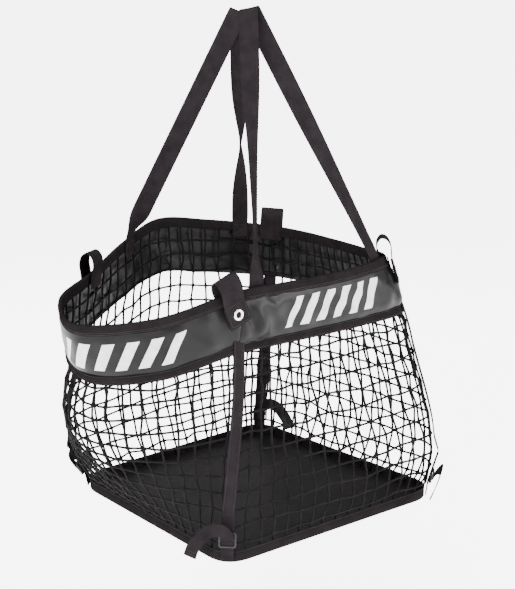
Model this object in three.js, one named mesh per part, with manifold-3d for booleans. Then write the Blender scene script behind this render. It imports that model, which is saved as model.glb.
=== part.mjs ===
// A mesh ball bag: a square base of coated fabric, four net sides, a coated-fabric band round the mouth,
// two webbing carry handles, a hanging tab with an eyelet at each corner of the mouth, and an adjustable
// webbing strap down each corner with a three-bar buckle at its foot.
// Millimetres, +Z up. The origin is the point where the two handles rest on the hook; the bag hangs below it.

import * as THREE from "three";
import { mergeVertices } from "three/addons/utils/BufferGeometryUtils.js";
import Module from "manifold-3d";

const wasm = await Module();
wasm.setup();

// ---------- driving dimensions ----------

const HANG_DROP = 996; // from the hook down to the underside of the base
const RIM_HEIGHT = 496; // from the base to the mouth, at a corner
const BASE_CORNERS = [[-278, -278], [278, -278], [275, 275], [-245, 245]]; // plan of the base, from front left
const BASE_ROUNDING = 55; // how far from a corner its rounding starts
const BASE_SHEET = 2;
const NET = 3; // depth of the knotted net
const BAND_HEIGHT = 120;
const BAND_SHEET = 1.2;
const SEWING_GAP = 0.3; // kept between neighbouring layers
const TAPE = 1.3; // binding tape
const RIM_TAPE_DEPTH = 22;
const HEM_TAPE_DEPTH = 18;
const BASE_TAPE_DEPTH = 22;
const SHOULDER = 0.7; // share of the height at which the wall reaches the straight slope of the band
const FOOT_HEIGHT = 24; // upright foot of the wall, behind the base binding

const HANDLE_WIDTH = 38;
const HANDLE_WEBBING = 2;
const HOOK_RADIUS = 4; // of the round bar that the handles hang on
const HANDLE_END_DROP = 34; // sewn length of a handle's end
const HANDLE_FOOT = 9; // lower end of a handle's free webbing, above the mouth

const TAB_WIDTH = 50;
const TAB_WEBBING = 2;
const TAB_PATCH = 4.4; // doubled end that carries the eyelet
const TAB_PATCH_TOP = -18; // from the top of the mouth
const TAB_END = -62;
const EYELET_DROP = -40;
const EYELET_BORE = 6;
const EYELET_FLANGE = 11;

const TAB_LEAN = [21, 0, 4, 0]; // how far each tab leans to the left, seen from outside, in degrees

const STRAP_WIDTH = 25;
const STRAP_WEBBING = 1.6;
const STRAP_OFFSET = 6.4; // centre of the corner strap, out from the net
const BUCKLE_WIDTH = 33;
const BUCKLE_HEIGHT = 30;
const BUCKLE_THICKNESS = 3.4;
const BUCKLE_FOOT = 30; // its lower edge, above the base
const BUCKLE_TRAVEL = 30; // up the strap, which runs straight behind the buckle that far
const STRAP_FOOT = 3; // its lower end, above the base
const JOINT_GAP = 3.5; // left on each side of a bend line in webbing

const UP = new THREE.Vector3(0, 0, 1);
const SIDES = ["front", "right", "rear", "left"];
const CORNERS = ["front_left", "front_right", "rear_right", "rear_left"];

// The mouth as it hangs: a closed curve whose every fourth point is a corner, heights above the base.
const RIM = new THREE.CatmullRomCurve3(
  [
    [-184, -198, RIM_HEIGHT], [-80, -192, 494], [30, -192, 493], [150, -180, 494],
    [258, -141, RIM_HEIGHT], [290, -36, 493], [303, 60, 493], [298, 152, 497],
    [271, 237, 502], [125, 280, 527], [-20, 266, 548], [-155, 207, 523],
    [-290, 120, 496], [-414, 46, 474], [-460, -66, 454], [-356, -172, 466],
  ].map(([x, y, z]) => new THREE.Vector3(x, y, z)),
  true,
);
// At the same sixteen places: how far the wall stands outside the mouth at its shoulder, and how far the
// load pushes its lower part out.
const FLARE = [0, 0, 0, 16, 50, 42, 30, 18, 10, 0, 0, 6, 15, -12, -43, -24];
const BELLY = [4, 16, 24, 24, 26, 30, 30, 24, 12, 20, 26, 32, 40, 46, 44, 24];

// ---------- materials ----------

const finish = (color, roughness, metalness = 0) => new THREE.MeshStandardMaterial({ color, roughness, metalness });
const COATED_FABRIC = finish(0x2a2728, 0.42);
const NET_CORD = finish(0x1d1b1c, 0.85);
const WEBBING = finish(0x2b2829, 0.8);
const BINDING = finish(0x262324, 0.75);
const NICKEL = finish(0xd8d4cc, 0.25, 1);
const BUCKLE_PLASTIC = finish(0x2c2b2d, 0.4);

// ---------- the wall that everything is sewn to ----------

const smooth = (from, to, x) => THREE.MathUtils.smoothstep(x, from, to);

// Plan of the base edge at u, where u runs 0 to 4 round the bag and whole numbers are corners.
function baseEdge(u) {
  const at = (i) => new THREE.Vector2(...BASE_CORNERS[((i % 4) + 4) % 4]);
  const nearest = Math.round(u);
  const corner = at(nearest);
  const onSide = at(Math.floor(u)).lerp(at(Math.floor(u) + 1), u - Math.floor(u));
  if (onSide.distanceTo(corner) > BASE_ROUNDING) return onSide;
  const before = corner.clone().add(at(nearest - 1).sub(corner).setLength(BASE_ROUNDING));
  const after = corner.clone().add(at(nearest + 1).sub(corner).setLength(BASE_ROUNDING));
  const along = (onSide.distanceTo(corner) / BASE_ROUNDING) * Math.sign(u - nearest);
  const t = 0.5 + along / 2;
  return before.lerp(corner, t).lerp(corner.clone().lerp(after, t), t);
}

const rimAt = (u) => RIM.getPoint((((u % 4) + 4) % 4) / 4);

// Value at u of a quantity listed at sixteen places round the bag.
function around(list, u) {
  const at = (i) => list[((i % 16) + 16) % 16];
  const i = Math.floor(u * 4);
  const t = u * 4 - i;
  const slopes = [(at(i + 1) - at(i - 1)) / 2, (at(i + 2) - at(i)) / 2];
  const start = at(i) * (1 + 2 * t) * (1 - t) ** 2 + at(i + 1) * t * t * (3 - 2 * t);
  return start + slopes[0] * t * (1 - t) ** 2 - slopes[1] * t * t * (1 - t);
}

// A point of the wall at u and at a height above the base.
function wall(u, height) {
  const rim = rimAt(u);
  const shoulder = SHOULDER * rim.z;
  const turn = ((u - 1.5) * Math.PI) / 2;
  const out = new THREE.Vector3(Math.cos(turn), Math.sin(turn), 0);
  if (height > shoulder) {
    const flare = (around(FLARE, u) * (rim.z - height)) / (rim.z - shoulder);
    return out.multiplyScalar(flare).add(rim).setZ(height - HANG_DROP);
  }
  const base = baseEdge(u);
  const raised = THREE.MathUtils.clamp((height - FOOT_HEIGHT) / (shoulder - FOOT_HEIGHT), 0, 1);
  const above = out.clone().multiplyScalar(around(FLARE, u)).add(rim);
  const pushed = out.multiplyScalar(around(BELLY, u) * Math.sin(Math.PI * raised ** 0.75));
  const place = new THREE.Vector3(base.x, base.y, 0).lerp(above, smooth(0, 1, raised));
  return place.add(pushed).setZ(height - HANG_DROP);
}

function wallTangent(u, height) {
  return wall(u + 0.02, height).sub(wall(u - 0.02, height)).setZ(0).normalize();
}

const wallNormal = (u, height) => wallTangent(u, height).cross(UP);

const wallOut = (u, height, out) => wall(u, height).addScaledVector(wallNormal(u, height), out);

// ---------- geometry helpers ----------

const SIDE_STEPS = 12; // facets of one side of the wall
const PANEL_GAP = 0.0015; // in u, half the gap between neighbouring sheets at a corner

// A closed body through rings of points. A ring lists one face's points, then the other face's in reverse.
// Rising and falling faces are split along the same diagonal, so that layers over each other stay parallel.
function loft(rings, closed = false) {
  const size = rings[0].length;
  const position = rings.flat().flatMap((p) => [p.x, p.y, p.z]);
  const index = [];
  const quad = (a, b, c, d) => index.push(a, b, c, a, c, d);
  const spans = closed ? rings.length : rings.length - 1;
  for (let i = 0; i < spans; i++) {
    const here = i * size;
    const next = ((i + 1) % rings.length) * size;
    for (let j = 0; j < size; j++) {
      const k = (j + 1) % size;
      const falling = rings[i][k].z < rings[i][j].z;
      if (falling) quad(here + k, here + j, next + j, next + k);
      else quad(here + j, next + j, next + k, here + k);
    }
  }
  const last = (rings.length - 1) * size;
  for (let j = 0; !closed && j < size / 2 - 1; j++) {
    const k = size - 1 - j;
    quad(j, j + 1, k - 1, k);
    quad(last + k, last + k - 1, last + j + 1, last + j);
  }
  const geometry = new THREE.BufferGeometry();
  geometry.setAttribute("position", new THREE.Float32BufferAttribute(position, 3));
  geometry.setIndex(index);
  return geometry;
}

// Flat webbing along a path. Each station is {at, across}: a centre and the direction of the width.
function ribbon(stations, width, thickness) {
  const rings = stations.map(({ at, across }, i) => {
    const before = stations[Math.max(i - 1, 0)].at;
    const after = stations[Math.min(i + 1, stations.length - 1)].at;
    const along = after.clone().sub(before).normalize();
    const face = along.clone().cross(across).normalize();
    const side = face.clone().cross(along).normalize();
    const thick = (stations[i].thickness ?? thickness) / 2;
    const corner = (s, f) => at.clone().addScaledVector(side, (s * width) / 2).addScaledVector(face, f * thick);
    return [corner(-1, 1), corner(1, 1), corner(1, -1), corner(-1, -1)];
  });
  return loft(rings);
}

// Millimetres of rim to one step of u.
function rimSpeed(u) {
  return rimAt(u + 0.02).distanceTo(rimAt(u - 0.02)) / 0.04;
}

// Webbing sewn flat on the wall about u, curved with it, from foot up to top as measured from the rim.
function sewnPatch(u, width, webbing, out, foot, top, lean = 0) {
  const section = box(out - webbing / 2, out + webbing / 2, foot, top);
  const rings = [-1, -0.5, 0, 0.5, 1].map((share) => {
    const along = (share * width) / 2;
    const here = u + along / rimSpeed(u);
    return section.map(([away, up]) => wallOut(here, rimHeight(here) + up + along * Math.tan(lean), away));
  });
  return loft(rings);
}

// A sheet on one side of the bag, through the heights that rows(u) lists, between two offsets.
function wallSheet(side, rows, inner, outer) {
  const rings = [];
  for (let i = 0; i <= SIDE_STEPS; i++) {
    const u = side + THREE.MathUtils.clamp(i / SIDE_STEPS, PANEL_GAP, 1 - PANEL_GAP);
    const outside = rows(u).map((h) => wallOut(u, h, outer));
    const inside = rows(u).map((h) => wallOut(u, h, inner));
    rings.push([...outside, ...inside.reverse()]);
  }
  return loft(rings);
}

// A tape all round the bag. The section lists [out, up] points about the edge at edge(u).
function wallRing(section, edge) {
  const rings = [];
  for (let i = 0; i < 4 * SIDE_STEPS; i++) {
    const u = i / SIDE_STEPS;
    rings.push(section.map(([out, up]) => wallOut(u, edge(u) + up, out)));
  }
  return loft(rings, true);
}

const box = (inner, outer, low, high) => [[outer, low], [outer, high], [inner, high], [inner, low]];

function solidOf(geometry) {
  const bare = geometry.clone();
  bare.deleteAttribute("normal");
  bare.deleteAttribute("uv");
  const merged = mergeVertices(bare, 1e-4);
  return new wasm.Manifold(
    new wasm.Mesh({
      numProp: 3,
      vertProperties: merged.attributes.position.array,
      triVerts: new Uint32Array(merged.index.array),
    }),
  );
}

function cut(geometry, cutter) {
  const mesh = solidOf(geometry).subtract(solidOf(cutter)).getMesh();
  const result = new THREE.BufferGeometry();
  result.setAttribute("position", new THREE.BufferAttribute(mesh.vertProperties, 3));
  return result.setIndex(new THREE.BufferAttribute(mesh.triVerts, 1));
}

const bag = new THREE.Group();

function add(name, geometry, material) {
  const mesh = new THREE.Mesh(geometry, material);
  mesh.name = name;
  bag.add(mesh);
  return mesh;
}

// Seats a mesh on the wall between two heights, its origin at the upper one: X to the left seen from
// outside, Y outward, Z up the wall. A positive lean drops its left end.
function seat(mesh, u, low, high, lean = 0) {
  const foot = wall(u, low);
  const up = wall(u, high).sub(foot);
  const length = up.length();
  up.normalize();
  const out = up.clone().cross(wallTangent(u, high).negate()).normalize();
  up.applyAxisAngle(out, THREE.MathUtils.degToRad(lean));
  mesh.matrixAutoUpdate = false;
  mesh.matrix.makeBasis(out.clone().cross(up), out, up).setPosition(foot.addScaledVector(up, length));
}

// ---------- base ----------

function baseSheet() {
  const edge = NET / 2;
  const outline = Array.from({ length: 4 * SIDE_STEPS }, (_, i) => wallOut(i / SIDE_STEPS, 0, edge));
  const shape = new THREE.Shape(outline.map((p) => new THREE.Vector2(p.x, p.y)));
  const geometry = new THREE.ExtrudeGeometry(shape, { depth: BASE_SHEET, bevelEnabled: false });
  return geometry.translate(0, 0, -HANG_DROP);
}

add("base_panel", baseSheet(), COATED_FABRIC);
const outside = NET / 2 + SEWING_GAP;
add("base_binding", wallRing(box(outside, outside + TAPE, 0.4, BASE_TAPE_DEPTH), () => 0), BINDING);

// ---------- net sides, band, rim and hem ----------

const NET_FOOT = BASE_SHEET + SEWING_GAP;
const NET_ROWS = 7; // facet rows of a net side between its foot and its shoulder
const SHEET_TOP = TAPE + SEWING_GAP; // how far the sheets stop below the top of the rim tape
const rimHeight = (u) => rimAt(u).z;
const bandFoot = (u) => rimHeight(u) - BAND_HEIGHT;
const bandOuter = NET / 2 + SEWING_GAP + BAND_SHEET;

function netHeights(u) {
  const shoulder = SHOULDER * rimHeight(u);
  const loaded = Array.from({ length: NET_ROWS + 1 }, (_, i) =>
    THREE.MathUtils.lerp(FOOT_HEIGHT, shoulder, i / NET_ROWS),
  );
  return [NET_FOOT, ...loaded, ...bandHeights(u)];
}

function bandHeights(u) {
  return [bandFoot(u), bandFoot(u) + HEM_TAPE_DEPTH, rimHeight(u) - RIM_TAPE_DEPTH, rimHeight(u) - SHEET_TOP];
}

SIDES.forEach((side, i) => {
  add(`net_${side}`, wallSheet(i, netHeights, -NET / 2, NET / 2), NET_CORD);
  add(`band_${side}`, wallSheet(i, bandHeights, outside, bandOuter), COATED_FABRIC);
});

const tapeInner = bandOuter + SEWING_GAP;
const innerFace = -NET / 2 - SEWING_GAP;
const rimSection = [
  [innerFace - TAPE, -RIM_TAPE_DEPTH], [innerFace, -RIM_TAPE_DEPTH], [innerFace, -TAPE], [tapeInner, -TAPE],
  [tapeInner, -RIM_TAPE_DEPTH], [tapeInner + TAPE, -RIM_TAPE_DEPTH], [tapeInner + TAPE, 0], [innerFace - TAPE, 0],
];
add("rim_binding", wallRing(rimSection, rimHeight), BINDING);
add("band_hem", wallRing(box(tapeInner, tapeInner + TAPE, 0, HEM_TAPE_DEPTH), bandFoot), BINDING);

// ---------- corner straps, buckles and strap tails ----------

const BUCKLE_TOP = BUCKLE_FOOT + BUCKLE_HEIGHT;
const STRAP_TOP = 4; // below the rim

function cornerStrap(corner) {
  const across = wallTangent(corner, BUCKLE_TOP);
  const foot = wallOut(corner, BUCKLE_FOOT, STRAP_OFFSET);
  const rise = wallOut(corner, BUCKLE_TOP, STRAP_OFFSET).sub(foot);
  const clear = (BUCKLE_HEIGHT + BUCKLE_TRAVEL + 4) / BUCKLE_HEIGHT; // straight to above the buckle's travel
  const straight = [0, 1, clear].map((t) => foot.clone().addScaledVector(rise, t));
  const stations = [wallOut(corner, STRAP_FOOT, STRAP_OFFSET), ...straight].map((at) => ({ at, across }));
  const low = straight[2].z + HANG_DROP + 30;
  const high = rimHeight(corner) - STRAP_TOP;
  const steps = 12;
  for (let i = 0; i <= steps; i++) {
    const height = THREE.MathUtils.lerp(low, high, i / steps);
    stations.push({ at: wallOut(corner, height, STRAP_OFFSET), across: wallTangent(corner, height) });
  }
  return ribbon(stations, STRAP_WIDTH, STRAP_WEBBING);
}

// Three-bar buckle, flat in XZ with its top at Z 0: two slots leave a bar across the middle.
function buckle() {
  const half = BUCKLE_WIDTH / 2;
  const rail = 3.5;
  const bar = 4;
  const slot = (BUCKLE_HEIGHT - 3 * bar) / 2;
  const bevel = 4;
  const frame = new THREE.Shape(
    [
      [bevel - half, 0], [half - bevel, 0], [half, bevel], [half, BUCKLE_HEIGHT - bevel],
      [half - bevel, BUCKLE_HEIGHT], [bevel - half, BUCKLE_HEIGHT], [-half, BUCKLE_HEIGHT - bevel], [-half, bevel],
    ].map((p) => new THREE.Vector2(...p)),
  );
  let plate = new THREE.ExtrudeGeometry(frame, { depth: BUCKLE_THICKNESS, bevelEnabled: false });
  for (const low of [bar, 2 * bar + slot]) {
    const hole = new THREE.BoxGeometry(BUCKLE_WIDTH - 2 * rail, slot, 3 * BUCKLE_THICKNESS);
    plate = cut(plate, hole.translate(0, low + slot / 2, 0));
  }
  // Extruded along +Z, then stood up so that the outline is in XZ, just outside the strap.
  const inner = STRAP_OFFSET + STRAP_WEBBING / 2 + 2 * SEWING_GAP;
  return plate.rotateX(Math.PI / 2).translate(0, inner + BUCKLE_THICKNESS, -BUCKLE_HEIGHT);
}

// Free end of the strap: up out of the buckle, round to one side and down. Points are [along, out, up].
const TAIL_ROUTE = [
  [0, 14, -14], [1, 17, -4], [8, 21, 5], [22, 22, 8], [38, 21, 2], [52, 19, -12], [64, 16, -30], [70, 13, -48],
];
const TAIL_TURN = THREE.MathUtils.degToRad(115); // how far its width turns on the way

function strapTail() {
  const curve = new THREE.CatmullRomCurve3(TAIL_ROUTE.map((p) => new THREE.Vector3(...p)));
  const steps = 14;
  const stations = Array.from({ length: steps + 1 }, (_, i) => {
    const t = i / steps;
    const turn = TAIL_TURN * smooth(0, 0.7, t);
    return { at: curve.getPoint(t), across: new THREE.Vector3(Math.cos(turn), 0, -Math.sin(turn)) };
  });
  return ribbon(stations, STRAP_WIDTH, STRAP_WEBBING);
}

CORNERS.forEach((name, corner) => {
  add(`corner_strap_${name}`, cornerStrap(corner), WEBBING);
  seat(add(`buckle_${name}`, buckle(), BUCKLE_PLASTIC), corner, BUCKLE_FOOT, BUCKLE_TOP);
  seat(add(`strap_tail_${name}`, strapTail(), WEBBING), corner, BUCKLE_FOOT, BUCKLE_TOP);
});

// ---------- hanging tabs with their eyelets ----------

// Side view of a tab as [out, up] from the top of the rim: up from the bend line, over, and down outside.
const TAB_FOLD = [[-7.5, JOINT_GAP], [-9, 16], [-3, 31], [8, 38], [18, 31], [20.5, 16], [16.5, 0], [13.4, -12]];
const TAB_OUT = 13; // centre of the hanging end, out from the net
const TAB_ANCHOR_OUT = -7.5;
const TAB_ANCHOR_FOOT = -32;

function tabWebbing() {
  const curve = new THREE.CatmullRomCurve3(TAB_FOLD.map(([out, up]) => new THREE.Vector3(0, out, up)));
  const across = new THREE.Vector3(1, 0, 0);
  const stations = curve.getPoints(18).map((at) => ({ at, across }));
  const hanging = [[TAB_PATCH_TOP + 1, TAB_WEBBING], [TAB_PATCH_TOP, TAB_PATCH], [TAB_END, TAB_PATCH]];
  for (const [up, thickness] of hanging) {
    stations.push({ at: new THREE.Vector3(0, TAB_OUT, up), across, thickness });
  }
  const hole = new THREE.CylinderGeometry(EYELET_BORE + 1.1, EYELET_BORE + 1.1, 3 * TAB_PATCH, 24);
  return cut(ribbon(stations, TAB_WIDTH, TAB_WEBBING), hole.translate(0, TAB_OUT, EYELET_DROP));
}

// The eyelet: a barrel through the tab with a rolled flange outside. Profile is [radius, out] about the bore.
function eyelet() {
  const back = -TAB_PATCH / 2 - 0.4;
  const face = TAB_PATCH / 2 + SEWING_GAP;
  const profile = [
    [EYELET_BORE, back], [EYELET_BORE + 0.8, back], [EYELET_BORE + 0.8, face], [EYELET_FLANGE, face],
    [EYELET_FLANGE, face + 0.6], [EYELET_FLANGE - 1.2, face + 1.5], [EYELET_BORE + 1.2, face + 1.5],
    [EYELET_BORE, face + 0.6], [EYELET_BORE, back],
  ].map((p) => new THREE.Vector2(...p));
  return new THREE.LatheGeometry(profile, 24).translate(0, TAB_OUT, EYELET_DROP);
}

function eyeletWasher() {
  const front = -TAB_PATCH / 2 - SEWING_GAP;
  const hole = EYELET_BORE + 1.1;
  const profile = [
    [hole, front - 1], [EYELET_FLANGE, front - 1], [EYELET_FLANGE, front], [hole, front], [hole, front - 1],
  ].map((p) => new THREE.Vector2(...p));
  return new THREE.LatheGeometry(profile, 24).translate(0, TAB_OUT, EYELET_DROP);
}

// The sewn end inside the corner, leaning with its tab.
function tabAnchor(corner) {
  const lean = THREE.MathUtils.degToRad(TAB_LEAN[corner]);
  const drop = TAB_END * (1 - Math.cos(lean));
  const u = corner + (TAB_END * Math.sin(lean)) / rimSpeed(corner);
  return sewnPatch(u, TAB_WIDTH, TAB_WEBBING, TAB_ANCHOR_OUT, TAB_ANCHOR_FOOT + drop, drop - JOINT_GAP, lean);
}

CORNERS.forEach((name, corner) => {
  add(`tab_anchor_${name}`, tabAnchor(corner), WEBBING);
  const pieces = [
    add(`hang_tab_${name}`, tabWebbing(), WEBBING),
    add(`eyelet_${name}`, eyelet(), NICKEL),
    add(`eyelet_washer_${name}`, eyeletWasher(), NICKEL),
  ];
  const rim = rimHeight(corner);
  for (const piece of pieces) seat(piece, corner, rim + TAB_END, rim, TAB_LEAN[corner]);
});

// ---------- handles ----------

const BAR_ALONG = new THREE.Vector3(1, -1, 0).normalize(); // the hook's bar
const BAR_FRONT = new THREE.Vector3(-1, -1, 0).normalize();
const HANDLE_OUT = -5.6; // centre of a sewn handle end, inside the rim tape
const FOLD_SLANT = THREE.MathUtils.degToRad(12); // how obliquely the webbing passes over the bar

// Each handle: how its fold lies on the bar, and its two legs. The front handle's fold rides over the rear
// one's. A leg ends at u = end, and may first hang straight for a drop. Each of its turns is a twist in degrees
// between two shares of its length, and over the shares in settle its width comes round to the rim's direction.
const HANDLES = {
  front: {
    fold: { middle: 11, slope: 12, radius: HOOK_RADIUS + 4.2, rise: 2.6, start: 25 },
    left: { end: 0.13, drop: 0, turns: [[-72, 0, 0.6], [-16, 0.5, 0.85]], settle: [0.88, 1] },
    right: { end: 0.885, drop: 0, turns: [], settle: [0, 1] },
  },
  rear: {
    fold: { middle: -11.5, slope: -20, radius: HOOK_RADIUS + 1, rise: 0, start: 0 },
    left: { end: 2.72, drop: 0, turns: [], settle: [0.86, 1] },
    right: { end: 2.125, drop: 40, turns: [[180, 0.1, 1]], settle: [0.1, 1] },
  },
};

// Where a leg meets its sewn end.
function rimStation(u) {
  const at = wallOut(u, rimHeight(u), HANDLE_OUT).addScaledVector(UP, HANDLE_FOOT);
  return { at, across: rimAt(u + 0.02).sub(rimAt(u - 0.02)).normalize() };
}

// The turn of webbing over the bar, from its front to its back.
function overBar({ middle, slope, radius, rise, start }) {
  const tilt = THREE.MathUtils.degToRad(slope);
  const crease = BAR_ALONG.clone().multiplyScalar(Math.cos(tilt)).addScaledVector(UP, Math.sin(tilt));
  const upright = BAR_FRONT.clone().cross(crease);
  const centre = BAR_ALONG.clone().multiplyScalar(middle).addScaledVector(UP, rise - HOOK_RADIUS);
  const steps = 8;
  return Array.from({ length: steps + 1 }, (_, i) => {
    const angle = THREE.MathUtils.lerp(THREE.MathUtils.degToRad(start), Math.PI, i / steps);
    const radial = BAR_FRONT.clone().multiplyScalar(Math.cos(angle)).addScaledVector(upright, Math.sin(angle));
    const round = BAR_FRONT.clone().multiplyScalar(-Math.sin(angle)).addScaledVector(upright, Math.cos(angle));
    const lead = radius * (angle - Math.PI / 2) * Math.tan(FOLD_SLANT);
    const across = crease.clone().multiplyScalar(Math.cos(FOLD_SLANT));
    across.addScaledVector(round, -Math.sin(FOLD_SLANT));
    return { at: centre.clone().addScaledVector(radial, radius).addScaledVector(crease, lead), across };
  });
}

// One leg, from the fold down to a sewn end: its width turns from one direction to the other, plus any twist.
function leg(fold, { end, drop, turns, settle }) {
  const from = { at: fold.at.clone().addScaledVector(UP, -drop), across: fold.across };
  const to = rimStation(end);
  const along = to.at.clone().sub(from.at).normalize();
  const flat = (v) => v.clone().addScaledVector(along, -v.dot(along)).normalize();
  const start = flat(from.across);
  const finish = flat(to.across);
  if (start.dot(finish) < 0) finish.negate();
  const between = Math.atan2(start.clone().cross(finish).dot(along), start.dot(finish));
  const left = between - turns.reduce((sum, [degrees]) => sum + THREE.MathUtils.degToRad(degrees), 0);
  const rest = left - Math.PI * Math.round(left / Math.PI);
  const steps = 20;
  const stations = drop ? [from] : [];
  for (let i = 1; i < steps; i++) {
    const t = i / steps;
    const turn = turns.reduce(
      (sum, [degrees, low, high]) => sum + THREE.MathUtils.degToRad(degrees) * smooth(low, high, t),
      rest * smooth(...settle, t),
    );
    stations.push({ at: from.at.clone().lerp(to.at, t), across: start.clone().applyAxisAngle(along, turn) });
  }
  return [...stations, to];
}

// Keeps every station's width on the same side as the one before, so that the webbing never flips over.
function untangled(stations) {
  stations.forEach((s, i) => {
    if (i && s.across.dot(stations[i - 1].across) < 0) s.across.negate();
  });
  return stations;
}

for (const [name, { fold, ...legs }] of Object.entries(HANDLES)) {
  const turn = overBar(fold);
  const rising = leg(turn[0], legs.left).reverse();
  const falling = leg(turn[turn.length - 1], legs.right);
  const stations = untangled([...rising, ...turn, ...falling]);
  add(`${name}_handle`, ribbon(stations, HANDLE_WIDTH, HANDLE_WEBBING), WEBBING);
  for (const [side, { end }] of Object.entries(legs)) {
    const sewn = sewnPatch(end, HANDLE_WIDTH, HANDLE_WEBBING, HANDLE_OUT, -HANDLE_END_DROP, -JOINT_GAP);
    add(`${name}_handle_end_${side}`, sewn, WEBBING);
  }
}

export default bag;
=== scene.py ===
"""The looks of a mesh ball bag that hangs by its two handles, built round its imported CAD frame.

Every piece is made in metres in the frame of the CAD model, whose origin is the hook under the handles' folds.
"""

import functools
import math

import bpy
import numpy as np
from mathutils import Matrix, Vector, noise


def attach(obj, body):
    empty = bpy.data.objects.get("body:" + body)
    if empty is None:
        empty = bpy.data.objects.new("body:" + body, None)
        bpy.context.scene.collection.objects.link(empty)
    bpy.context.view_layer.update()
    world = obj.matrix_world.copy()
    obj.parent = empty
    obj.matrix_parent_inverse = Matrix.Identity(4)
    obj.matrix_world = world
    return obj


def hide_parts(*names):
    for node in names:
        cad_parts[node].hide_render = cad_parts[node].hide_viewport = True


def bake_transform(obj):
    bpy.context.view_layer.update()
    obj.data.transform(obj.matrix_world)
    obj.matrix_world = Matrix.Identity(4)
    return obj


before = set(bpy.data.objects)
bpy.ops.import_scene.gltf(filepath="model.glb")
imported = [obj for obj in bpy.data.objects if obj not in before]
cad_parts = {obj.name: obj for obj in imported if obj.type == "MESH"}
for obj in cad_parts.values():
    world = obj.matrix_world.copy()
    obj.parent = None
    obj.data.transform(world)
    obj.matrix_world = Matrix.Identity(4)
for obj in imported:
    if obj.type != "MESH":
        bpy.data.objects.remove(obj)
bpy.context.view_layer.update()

MM = 0.001
SIDES = ["front", "right", "rear", "left"]
CORNERS = ["front_left", "front_right", "rear_right", "rear_left"]
UP = np.array([0.0, 0.0, 1.0])

# ---------- the bag's driving dimensions, the same as the CAD model's ---

HANG_DROP = 996 * MM
BASE_CORNERS = np.array([[-278, -278], [278, -278], [275, 275], [-245, 245]]) * MM
BASE_ROUNDING = 55 * MM
FOOT_HEIGHT = 24 * MM
SHOULDER = 0.7
RIM = MM * np.array(
    [
        [-184, -198, 496], [-80, -192, 494], [30, -192, 493], [150, -180, 494],
        [258, -141, 496], [290, -36, 493], [303, 60, 493], [298, 152, 497],
        [271, 237, 502], [125, 280, 527], [-20, 266, 548], [-155, 207, 523],
        [-290, 120, 496], [-414, 46, 474], [-460, -66, 454], [-356, -172, 466],
    ]
)
FLARE = MM * np.array([0, 0, 0, 16, 50, 42, 30, 18, 10, 0, 0, 6, 15, -12, -43, -24])
BELLY = MM * np.array([4, 16, 24, 24, 26, 30, 30, 24, 12, 20, 26, 32, 40, 46, 44, 24])

NET_FOOT = 2.3 * MM
BAND_HEIGHT = 120 * MM
RIM_TAPE = 22 * MM
HEM_TAPE = 18 * MM
BASE_TAPE = 22 * MM

STRAP_WIDTH = 25 * MM
STRAP_OUT = 6.4 * MM
BUCKLE_WIDTH = 33 * MM
BUCKLE_HEIGHT = 30 * MM
BUCKLE_FOOT = 30 * MM
BUCKLE_TOP = BUCKLE_FOOT + BUCKLE_HEIGHT
BUCKLE_TRAVEL = 30 * MM

TAB_WIDTH = 50 * MM
TAB_OUT = 13 * MM
TAB_END = -62 * MM
TAB_LEAN = [21, 0, 4, 0]
EYELET_DROP = -40 * MM
EYELET_BORE = 6 * MM
EYELET_FLANGE = 11 * MM

HANDLE_WIDTH = 38 * MM
HANDLE_OUT = -5.6 * MM
HANDLE_END = 34 * MM
HANDLE_FOOT = 9 * MM
HOOK_RADIUS = 4 * MM
FOLD_SLANT = math.radians(12)
HANDLES = {
    "front": {
        "fold": {"middle": 11 * MM, "slope": 12, "radius": 8.2 * MM, "rise": 2.6 * MM, "start": 25},
        "left": {"end": 0.13, "drop": 0, "turns": [(-72, 0, 0.6), (-16, 0.5, 0.85)], "settle": (0.88, 1)},
        "right": {"end": 0.885, "drop": 0, "turns": [], "settle": (0, 1)},
    },
    "rear": {
        "fold": {"middle": -11.5 * MM, "slope": -20, "radius": 5 * MM, "rise": 0, "start": 0},
        "left": {"end": 2.72, "drop": 0, "turns": [], "settle": (0.86, 1)},
        "right": {"end": 2.125, "drop": 40 * MM, "turns": [(180, 0.1, 1)], "settle": (0.1, 1)},
    },
}

# ---------- the wall that everything is sewn to; u runs 0 to 4 round the bag, whole at the corners ----------


def smooth(low, high, x):
    t = min(max((x - low) / (high - low), 0), 1)
    return t * t * (3 - 2 * t)


def spline(points, i, w, closed):
    """Centripetal Catmull-Rom through points, at share w of the span after point i."""
    n = len(points)
    if closed:
        p0, p1, p2, p3 = (points[(i + k) % n] for k in (-1, 0, 1, 2))
    else:
        p1, p2 = points[i], points[i + 1]
        p0 = points[i - 1] if i > 0 else 2 * p1 - p2
        p3 = points[i + 2] if i + 2 < n else 2 * p2 - p1
    d0, d1, d2 = (max(np.dot(b - a, b - a) ** 0.25, 1e-4) for a, b in ((p0, p1), (p1, p2), (p2, p3)))
    t1 = ((p1 - p0) / d0 - (p2 - p0) / (d0 + d1) + (p2 - p1) / d1) * d1
    t2 = ((p2 - p1) / d1 - (p3 - p1) / (d1 + d2) + (p3 - p2) / d2) * d1
    return p1 + t1 * w + (3 * (p2 - p1) - 2 * t1 - t2) * w**2 + (2 * (p1 - p2) + t1 + t2) * w**3


def curve(points, steps):
    """Points of an open smooth curve through the given ones, with steps to each span."""
    points = np.asarray(points, float)
    out = [spline(points, i, k / steps, False) for i in range(len(points) - 1) for k in range(steps)]
    return np.array([*out, points[-1]])


@functools.lru_cache(maxsize=None)
def rim_at(u):
    p = (u % 4) * 4
    return spline(RIM, int(p), p - int(p), True)


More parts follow.
